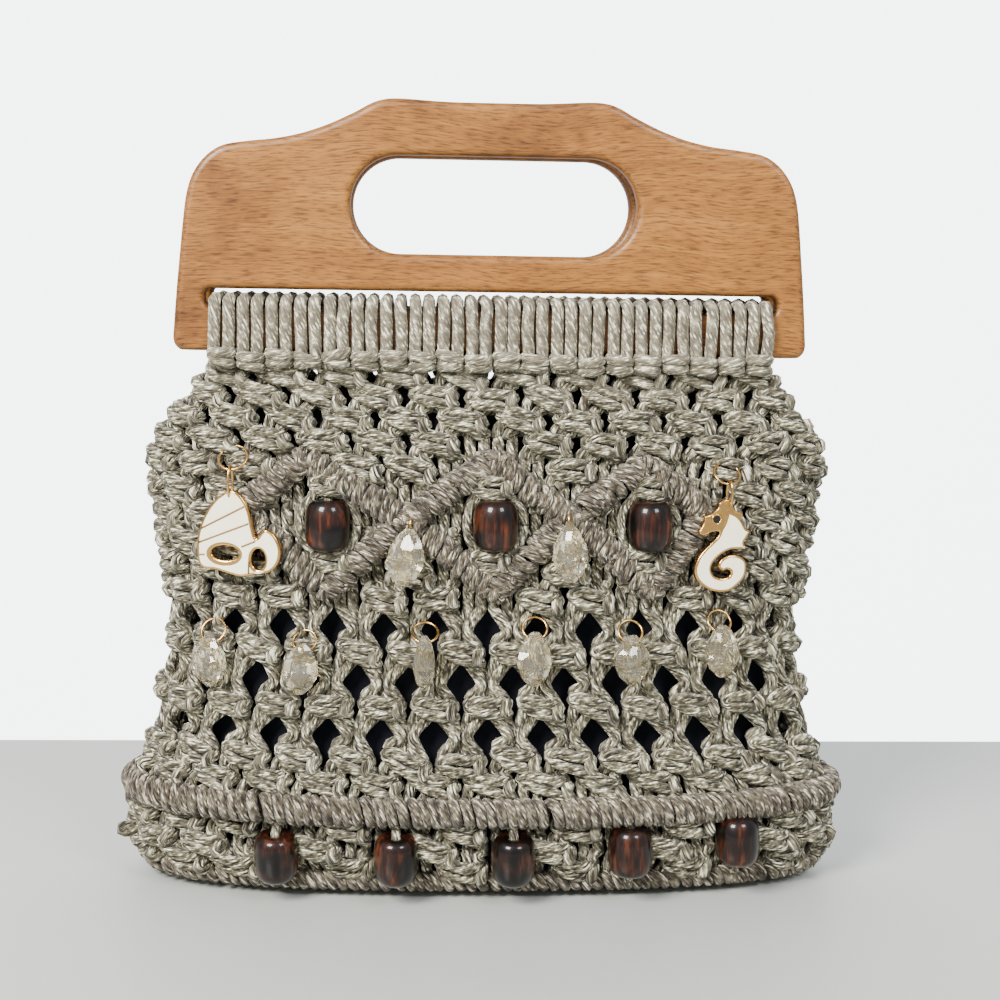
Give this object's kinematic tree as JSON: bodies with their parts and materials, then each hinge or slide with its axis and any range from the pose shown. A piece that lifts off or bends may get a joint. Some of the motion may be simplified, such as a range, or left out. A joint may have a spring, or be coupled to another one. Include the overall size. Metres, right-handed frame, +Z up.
{
  "type": "knotted cord handbag with wooden plate handles",
  "caption": "Knotted grey cord handbag with an open net band, beads, clear drops and two enamel charms, hung from a pair of wooden plate handles with grip slots.",
  "frame": {"origin": "middle of the bounding box at the flat base the bag stands on", "axes": "+Z up, the beaded front faces -Y, +X to the right as the front is seen"},
  "size_m": [0.298, 0.0964, 0.316],
  "materials": {
    "handle_wood": "warm brown stained plywood or beech with flat grain, thin satin varnish, worn edges and a few scratches",
    "macrame_cord": "matt twisted cord of about 5 mm, cream, grey and green-grey yarns heathered together",
    "lining_cloth": "plain matt near-black cloth",
    "bead_wood": "dark red-brown wood under a thick glossy varnish, lighter streaks of grain",
    "gilt_wire": "thin polished gold-coloured wire, slightly tarnished",
    "clear_drop": "clear cut drops with a faint warm tint, polished facets",
    "enamel": "glossy cream enamel on a thin gold-coloured casting whose rims and lines show"
  },
  "bodies": {
    "root": {"front_handle": "handle_wood", "back_handle": "handle_wood", "front_panel": "macrame_cord", "back_panel": "macrame_cord", "lining": "lining_cloth", "bead_mid_1": "bead_wood", "bead_mid_2": "bead_wood", "bead_mid_3": "bead_wood", "bead_low_1": "bead_wood", "bead_low_2": "bead_wood", "bead_low_3": "bead_wood", "bead_low_4": "bead_wood", "bead_low_5": "bead_wood", "drop_ring_1": "gilt_wire", "drop_ring_2": "gilt_wire", "drop_ring_3": "gilt_wire", "drop_ring_4": "gilt_wire", "drop_ring_5": "gilt_wire", "drop_ring_6": "gilt_wire", "drop_ring_7": "gilt_wire", "drop_ring_8": "gilt_wire", "ring_sail": "gilt_wire", "link_sail": "gilt_wire", "ring_seahorse": "gilt_wire", "link_seahorse": "gilt_wire", "drop_1": "clear_drop", "drop_2": "clear_drop", "drop_3": "clear_drop", "drop_4": "clear_drop", "drop_5": "clear_drop", "drop_6": "clear_drop", "drop_7": "clear_drop", "drop_8": "clear_drop", "charm_sail": "enamel", "charm_seahorse": "enamel"}
  },
  "joints": []
}
